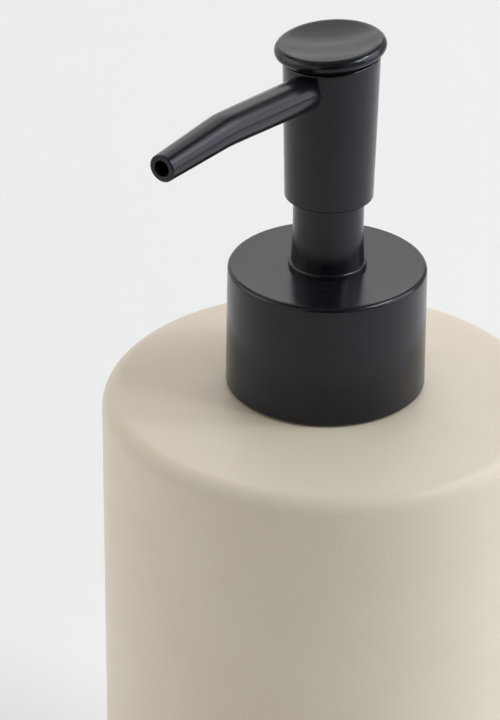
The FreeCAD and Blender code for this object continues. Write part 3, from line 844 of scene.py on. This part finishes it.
# %% [markdown]
# ## The return spring
# A compression spring has closed ends: the last coil at each end lies against its neighbour. When the head is
# pressed the spring rides down with it and flattens towards its own top, so its foot stays on the cage.

# %% Spring sizes
SPRING_LOW = low("return_spring")
SPRING_HIGH = high("return_spring")
WIRE_R = 0.45 * MM
COIL_R = radius("return_spring") - WIRE_R
COILS = 9
STEPS_PER_COIL = 40
AROUND_WIRE = 16

# %% Spring mesh


def spring_height(share):
    """Height along the wire: slow at both ends, even between them."""
    dead = 1 / COILS
    closed = 2.1 * WIRE_R
    rise = SPRING_HIGH - SPRING_LOW - 2 * WIRE_R
    if share < dead:
        return closed * share / dead
    if share > 1 - dead:
        return rise - closed * (1 - share) / dead
    return closed + (rise - 2 * closed) * (share - dead) / (1 - 2 * dead)


def make_spring():
    """Round wire along a helix with closed ends."""
    vertices = []
    rings = COILS * STEPS_PER_COIL + 1
    for ring in range(rings):
        share = ring / (rings - 1)
        turn = math.tau * COILS * share
        outward = Vector((math.cos(turn), math.sin(turn), 0))
        centre = outward * COIL_R + UP * (SPRING_LOW + WIRE_R + spring_height(share))
        for i in range(AROUND_WIRE):
            angle = math.tau * i / AROUND_WIRE
            vertices.append(centre + (outward * math.cos(angle) + UP * math.sin(angle)) * WIRE_R)
    faces = rings_to_faces(rings, AROUND_WIRE, False)
    faces.append(tuple(range(AROUND_WIRE)))
    faces.append(tuple(range((rings - 1) * AROUND_WIRE, rings * AROUND_WIRE)))
    return finish_mesh("spring_coil", vertices, faces)


SPRING = dress(make_spring(), "return_spring", "spring", "steel")
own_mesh(SPRING)

# %% [markdown]
# ## The pieces inside
# The other pieces keep their CAD meshes, because turned plastic needs no finer shape. They still get a real
# finish, and are shaded smooth with crisp edges. The hidden nodes under the finer meshes get theirs too.

# %% Finish the inner pieces
for part in frame["record"]["subparts"]:
    cad_piece = NODES[part["node"]]
    cad_piece.data.materials.clear()
    cad_piece.data.materials.append(FINISHES[part["material_slot"]])
    cad_piece.data.shade_smooth()
    cad_piece.data.set_sharp_from_angle(angle=math.radians(30))

# %% [markdown]
# ## Stage
# A plain pale floor. It ends inside the ring of light panels, because a floor that went on behind them would
# lie in their dark side. In low views its far edge shows.

# %% Floor
FLOOR_HALF = 0.62
FLOOR_COLOUR = (0.80, 0.80, 0.80, 1.0)
FLOOR_WORN = (0.79, 0.79, 0.79, 1.0)


def make_floor():
    """Plain matt floor with a barely uneven tone."""
    material, tree, shader, coordinates = new_material("pale_floor")
    mottling = place(tree, SOFT_MOTTLING, Vector=coordinates, Cells_per_Metre=2.0)
    tree.links.new(mix_colour(tree, mottling.outputs[0], FLOOR_COLOUR, FLOOR_WORN), shader.inputs["Base Color"])
    shader.inputs["Roughness"].default_value = 0.9
    shader.inputs["Specular IOR Level"].default_value = 0.2
    corners = [(-FLOOR_HALF, -FLOOR_HALF, 0), (FLOOR_HALF, -FLOOR_HALF, 0),
               (FLOOR_HALF, FLOOR_HALF, 0), (-FLOOR_HALF, FLOOR_HALF, 0)]
    floor = finish_mesh("floor", corners, [(0, 1, 2, 3)])
    floor.data.materials.append(material)


make_floor()
print("floor", FLOOR_HALF * 2, "m across")

# %% [markdown]
# ## Light
# Product light. Small key panels high at the right draw the highlights on the collar's edge, the ring and the
# shoulder, and throw the collar's soft shadow to the left. Large soft panels low at both sides draw the bright
# edges of the black plastic, and the rear ones light the roof and the dish.
#
# The table below was first written out by a separate program, from a least-squares fit on renders of one light
# at a time. Several panels were then dropped and many powers changed. The tints are nearly all as the fit gave
# them, so they don't describe real lamps.

# %% Panels
PANELS = [
    # name, azimuth and elevation in degrees, distance, width and height in metres, power in watts, tint
    ("front_right_low", 45, 15, 1.0, 0.80, 0.80, 0.71, (0.99, 1.00, 0.99)),
    ("edge_front", 62, 38, 1.0, 0.20, 0.20, 2.30, (0.92, 1.00, 0.99)),
    ("edge_right", 85, 45, 1.0, 0.16, 0.16, 1.90, (0.87, 0.98, 1.00)),
    ("key_wide", 90, 42, 1.0, 0.40, 0.40, 0.63, (0.95, 0.99, 1.00)),
    ("right_low", 90, 15, 1.0, 0.80, 0.80, 4.50, (0.87, 0.91, 1.00)),
    ("key_back", 108, 34, 1.0, 0.40, 0.40, 0.80, (0.95, 0.95, 1.00)),
    ("back_right_low", 135, 15, 1.0, 0.80, 0.80, 0.95, (1.00, 0.94, 0.92)),
    ("horizon", 180, 1, 1.4, 1.60, 0.16, 0.60, (1.00, 0.98, 0.96)),
    ("back_low", 180, 15, 1.0, 0.80, 0.80, 1.85, (0.99, 0.98, 1.00)),
    ("back_high", 180, 50, 1.0, 0.80, 0.80, 2.40, (0.99, 0.97, 1.00)),
    ("back_left_low", 225, 15, 1.0, 0.80, 0.80, 1.97, (1.00, 0.91, 0.83)),
    ("left_high", 270, 40, 1.0, 0.60, 0.60, 0.90, (0.99, 1.00, 0.96)),
    ("left_low", 270, 15, 1.0, 0.80, 0.80, 3.15, (0.92, 0.99, 1.00)),
    ("front_left_low", 315, 15, 1.0, 0.80, 0.80, 1.60, (1.00, 0.95, 0.86)),
]
AIM = Vector((0, 0, 0.12))


def add_panel(name, azimuth, elevation, distance, width, height, power, tint):
    """Rectangular area light that faces the object. Azimuth 0 is the front, 90 its right."""
    data = bpy.data.lights.new("panel_" + name, "AREA")
    data.shape = "RECTANGLE"
    data.size = width
    data.size_y = height
    data.energy = power
    data.color = tint
    lamp = bpy.data.objects.new("panel_" + name, data)
    turn = math.radians(azimuth)
    lift = math.radians(elevation)
    away = Vector((math.sin(turn) * math.cos(lift), -math.cos(turn) * math.cos(lift), math.sin(lift)))
    lamp.location = AIM + away * distance
    lamp.rotation_euler = (-away).to_track_quat("-Z", "Y").to_euler()
    lamp.visible_camera = False
    bpy.context.scene.collection.objects.link(lamp)


for panel in PANELS:
    add_panel(*panel)
print(len(PANELS), "panels")

# %% [markdown]
# The room's ceiling glows softly, and fades towards the walls as the cosine squared. Its colour came from the
# same fit as the panels and was then made brighter. Seen directly, the room is one flat pale tone.

# %% Room light
CEILING = (0.300, 0.292, 0.270, 1.0)
DARK = (0.0, 0.0, 0.0, 1.0)
ROOM_SEEN = (0.86, 0.86, 0.86, 1.0)


def make_room():
    """Room with a glowing ceiling that is pale where it is seen directly."""
    world = bpy.data.worlds.new("studio_room")
    bpy.context.scene.world = world
    world.use_nodes = True
    tree = world.node_tree
    tree.nodes.clear()
    out = tree.nodes.new("ShaderNodeOutputWorld")
    direction = tree.nodes.new("ShaderNodeTexCoord").outputs["Generated"]
    upward = node(tree, "ShaderNodeSeparateXYZ", Vector=direction).outputs[2]
    upward = math_node(tree, "MAXIMUM", upward, 0.0)
    glow = mix_colour(tree, math_node(tree, "MULTIPLY", upward, upward), DARK, CEILING)
    seen = tree.nodes.new("ShaderNodeLightPath").outputs["Is Camera Ray"]
    background = node(tree, "ShaderNodeBackground", Color=mix_colour(tree, seen, glow, ROOM_SEEN), Strength=1.0)
    tree.links.new(background.outputs[0], out.inputs[0])


make_room()
print("room", bpy.context.scene.world.name)

# %% [markdown]
# ## Camera
# A long lens from a little over half a metre, looking down at about 28 degrees. A long lens keeps the bottle's
# walls nearly parallel. It is aimed high, at the pump, so the frame ends above the bottle's foot. The camera's
# place, angles and lens were found by a separate program, which fitted the object's outlines.

# %% Camera
LENS = 161.4
SENSOR = 36.0
CAMERA_BACK = 0.4768
CAMERA_UP = 0.2592
CAMERA_PITCH = 0.4929
CAMERA_YAW = -0.0265
CAMERA_ROLL = 0.0084


def make_camera():
    """Camera with a long lens, sharp everywhere."""
    data = bpy.data.cameras.new("camera")
    data.lens = LENS
    data.sensor_width = SENSOR
    data.clip_start = 0.05
    data.clip_end = 50.0
    camera = bpy.data.objects.new("camera", data)
    forward = Vector((math.sin(CAMERA_YAW) * math.cos(CAMERA_PITCH),
                      math.cos(CAMERA_YAW) * math.cos(CAMERA_PITCH), -math.sin(CAMERA_PITCH)))
    right = Vector((math.cos(CAMERA_YAW), -math.sin(CAMERA_YAW), 0))
    level = Matrix((right, right.cross(forward), -forward)).transposed()
    turned = level @ Matrix.Rotation(CAMERA_ROLL, 3, "Z")
    camera.matrix_world = Matrix.Translation((0, -CAMERA_BACK, CLOSURE_LOW + CAMERA_UP)) @ turned.to_4x4()
    bpy.context.scene.collection.objects.link(camera)
    bpy.context.scene.camera = camera


make_camera()
bpy.context.scene.view_settings.view_transform = "Standard"
print("lens", LENS, "mm")
